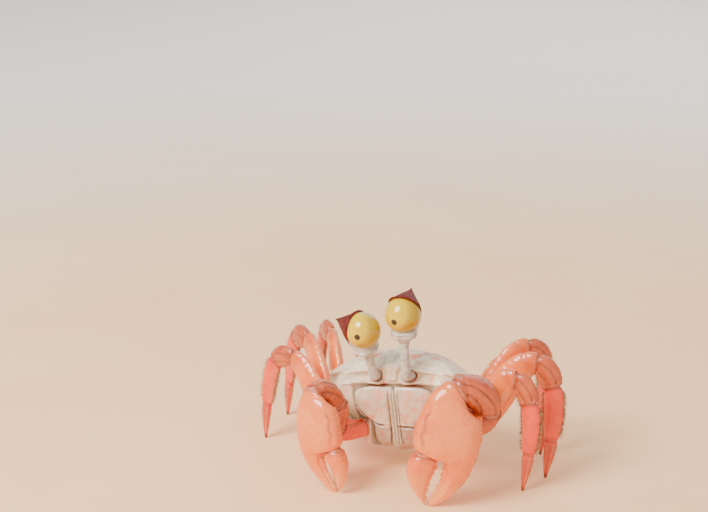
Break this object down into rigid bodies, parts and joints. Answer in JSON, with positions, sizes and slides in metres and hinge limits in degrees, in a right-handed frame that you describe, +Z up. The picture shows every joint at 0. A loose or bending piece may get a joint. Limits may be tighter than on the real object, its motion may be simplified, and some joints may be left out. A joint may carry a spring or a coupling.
{
  "type": "horned ghost crab, still life-size model",
  "caption": "Life-size still ghost crab crouching on its feet and claw tips, eyes raised on horned stalks, one claw larger than the other.",
  "frame": {"origin": "on the floor under the middle of the animal's bounding box", "axes": "+X towards the animal's left, +Y towards its rear, +Z up; it faces -Y"},
  "size_m": [0.1054, 0.0786, 0.0652],
  "materials": {
    "shell": "pale warm grey shell, finely grained, with scattered coral and brown specks",
    "under_shell": "smooth pale cream underside",
    "mouth_plate": "grey-brown plates with coral blotches",
    "limb_upper": "glossy light orange, finely grained",
    "limb_joint": "glossy brown-orange",
    "limb_lower": "glossy coral red",
    "cornea": "wet yellow with a small dark spot",
    "horn": "dark burgundy tip of each eyestalk",
    "membrane": "soft skin between the shell pieces",
    "hair": "short stiff brown bristles"
  },
  "bodies": {
    "root": {"carapace": "shell", "thorax": "under_shell", "abdomen": "under_shell", "mouth_plate_left": "mouth_plate", "eyestalk_left": "shell", "cornea_left": "cornea", "claw_hip_left": "limb_lower", "claw_arm_left": "limb_upper", "claw_wrist_left": "limb_joint", "claw_palm_left": "limb_upper", "claw_finger_left": "limb_upper", "leg1_hip_left": "limb_lower", "leg1_upper_left": "limb_upper", "leg1_knee_left": "limb_joint", "leg1_shin_left": "limb_lower", "leg1_foot_left": "limb_lower", "leg2_hip_left": "limb_lower", "leg2_upper_left": "limb_upper", "leg2_knee_left": "limb_joint", "leg2_shin_left": "limb_lower", "leg2_foot_left": "limb_lower", "leg3_hip_left": "limb_lower", "leg3_upper_left": "limb_upper", "leg3_knee_left": "limb_joint", "leg3_shin_left": "limb_lower", "leg3_foot_left": "limb_lower", "leg4_hip_left": "limb_lower", "leg4_upper_left": "limb_upper", "leg4_knee_left": "limb_joint", "leg4_shin_left": "limb_lower", "leg4_foot_left": "limb_lower", "mouth_plate_right": "mouth_plate", "eyestalk_right": "shell", "cornea_right": "cornea", "claw_hip_right": "limb_lower", "claw_arm_right": "limb_upper", "claw_wrist_right": "limb_joint", "claw_palm_right": "limb_upper", "claw_finger_right": "limb_upper", "leg1_hip_right": "limb_lower", "leg1_upper_right": "limb_upper", "leg1_knee_right": "limb_joint", "leg1_shin_right": "limb_lower", "leg1_foot_right": "limb_lower", "leg2_hip_right": "limb_lower", "leg2_upper_right": "limb_upper", "leg2_knee_right": "limb_joint", "leg2_shin_right": "limb_lower", "leg2_foot_right": "limb_lower", "leg3_hip_right": "limb_lower", "leg3_upper_right": "limb_upper", "leg3_knee_right": "limb_joint", "leg3_shin_right": "limb_lower", "leg3_foot_right": "limb_lower", "leg4_hip_right": "limb_lower", "leg4_upper_right": "limb_upper", "leg4_knee_right": "limb_joint", "leg4_shin_right": "limb_lower", "leg4_foot_right": "limb_lower"}
  },
  "joints": []
}
